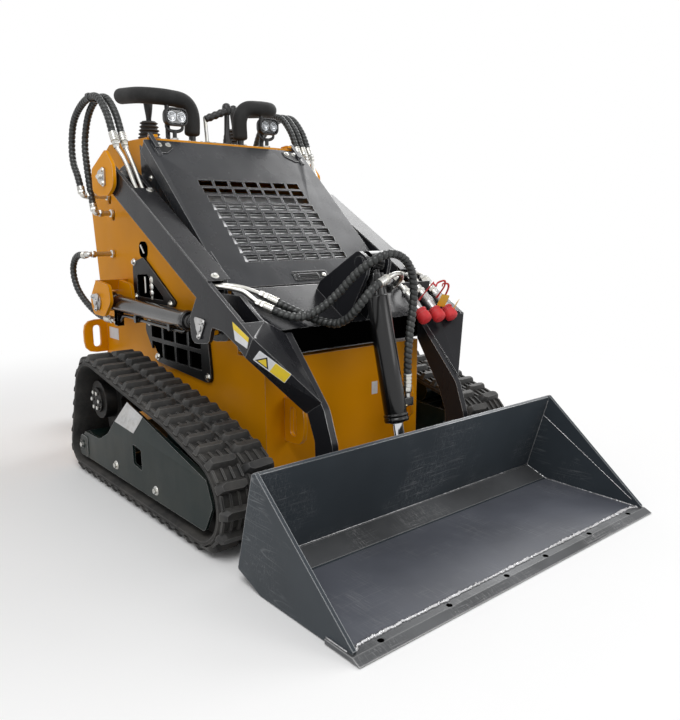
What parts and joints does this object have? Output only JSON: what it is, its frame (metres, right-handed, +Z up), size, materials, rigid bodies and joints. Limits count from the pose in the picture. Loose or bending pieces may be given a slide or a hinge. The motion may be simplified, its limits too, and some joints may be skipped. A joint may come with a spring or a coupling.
{
  "type": "compact tracked loader",
  "caption": "Small stand-on loader on rubber tracks with lift arms, a bucket, an opening hood and a fold-up rear platform.",
  "frame": {"origin": "on the ground at the middle of the overall length and width", "axes": "+Z up, -Y toward the bucket, +X toward the machine's left side, tracks and bucket flat on the ground"},
  "size_m": [1.132, 2.107, 1.2888],
  "materials": {
    "yellow": "gloss",
    "iron": "matte",
    "steel": "gloss",
    "graphite": "satin",
    "foam": "matte",
    "black": "gloss",
    "slate": "satin",
    "rubber": "matte",
    "lens": "gloss"
  },
  "bodies": {
    "chassis": {"body_shell": "yellow", "pivot_hoses_R": "rubber", "pivot_hoses_L": "rubber", "lift_hose_R": "rubber", "lift_hose_L": "rubber", "engine": "iron", "cooler": "steel", "throttle_levers": "foam", "thigh_pad": "foam", "track_R": "rubber", "track_L": "rubber", "track_frame_R": "graphite", "track_frame_L": "graphite", "idler_R": "iron", "idler_L": "iron", "sprocket_R": "iron", "sprocket_L": "iron", "tower_ear_R": "yellow", "tower_ear_L": "yellow", "arm_pivot_pin_R": "steel", "arm_pivot_pin_L": "steel", "lift_bracket_R": "yellow", "lift_bracket_L": "yellow", "lift_base_pin_R": "steel", "lift_base_pin_L": "steel", "side_grille_R": "black", "side_grille_L": "black", "side_window_R": "black", "side_window_L": "black", "hand_guard_R": "foam", "hand_guard_L": "foam", "joystick_R": "black", "joystick_L": "black", "work_lamp_R": "lens", "work_lamp_L": "lens"},
    "arms": {"cross_member": "black", "tilt_hose_lower": "rubber", "tilt_hose_upper": "rubber", "quick_couplers": "steel", "arm_lines_R": "steel", "arm_lines_L": "steel", "lift_arm_R": "black", "lift_arm_L": "black", "arm_cover_R": "black", "arm_cover_L": "black"},
    "bucket_group": {"coupler": "slate", "bucket": "slate", "cutting_edge": "slate", "bucket_pin_R": "steel", "bucket_pin_L": "steel"},
    "hood_lid": {"hood": "graphite"},
    "platform": {"stand_platform": "graphite"},
    "lift_tube_right": {"lift_tube_R": "black"},
    "lift_tube_left": {"lift_tube_L": "black"},
    "lift_rod_right": {"lift_rod_R": "steel"},
    "lift_rod_left": {"lift_rod_L": "steel"},
    "tilt_tube_body": {"tilt_tube": "black"},
    "tilt_rod_body": {"tilt_rod": "steel"}
  },
  "joints": [
    {"name": "arm_lift", "type": "hinge", "parent": "chassis", "child": "arms", "pos_m": [0, 0.3845, 0.973], "axis": [-1, 0, 0], "range_deg": [0, 80], "deforming": ["pivot_hoses_R", "pivot_hoses_L"]},
    {"name": "bucket_tilt", "type": "hinge", "parent": "arms", "child": "bucket_group", "pos_m": [0, -0.5265, 0.06], "axis": [1, 0, 0], "range_deg": [-14, 115]},
    {"name": "hood_open", "type": "hinge", "parent": "chassis", "child": "hood_lid", "pos_m": [0, 0.2965, 1.105], "axis": [-1, 0, 0], "range_deg": [0, 50]},
    {"name": "platform_fold", "type": "hinge", "parent": "chassis", "child": "platform", "pos_m": [0, 0.8035, 0.195], "axis": [1, 0, 0], "range_deg": [0, 85]},
    {"name": "lift_tube_right_swing", "type": "hinge", "parent": "chassis", "child": "lift_tube_right", "pos_m": [0, 0.5095, 0.554], "axis": [-1, 0, 0], "range_deg": [0, 56], "deforming": ["lift_hose_R"]},
    {"name": "lift_rod_right_slide", "type": "slide", "parent": "lift_tube_right", "child": "lift_rod_right", "axis": [0, -0.9998, -0.0212], "range_m": [0, 0.42]},
    {"name": "lift_tube_left_swing", "type": "hinge", "parent": "chassis", "child": "lift_tube_left", "pos_m": [0, 0.5095, 0.554], "axis": [-1, 0, 0], "range_deg": [0, 56], "deforming": ["lift_hose_L"]},
    {"name": "lift_rod_left_slide", "type": "slide", "parent": "lift_tube_left", "child": "lift_rod_left", "axis": [0, -0.9998, -0.0212], "range_m": [0, 0.42]},
    {"name": "tilt_tube_swing", "type": "hinge", "parent": "arms", "child": "tilt_tube_body", "pos_m": [0, -0.4635, 0.718], "axis": [1, 0, 0], "range_deg": [-1, 4], "deforming": ["tilt_hose_lower", "tilt_hose_upper"]},
    {"name": "tilt_rod_slide", "type": "slide", "parent": "tilt_tube_body", "child": "tilt_rod_body", "axis": [0, -0.2377, -0.9713], "range_m": [-0.026, 0.202]}
  ],
  "couplings": [
    {"joint": "lift_tube_right_swing", "follows": "arm_lift", "ratio": 0.6967},
    {"joint": "lift_rod_right_slide", "follows": "arm_lift", "m_per_rad": 0.2998},
    {"joint": "lift_tube_left_swing", "follows": "arm_lift", "ratio": 0.6967},
    {"joint": "lift_rod_left_slide", "follows": "arm_lift", "m_per_rad": 0.2998},
    {"joint": "tilt_tube_swing", "follows": "bucket_tilt", "ratio": 0.025},
    {"joint": "tilt_rod_slide", "follows": "bucket_tilt", "m_per_rad": 0.09924}
  ]
}
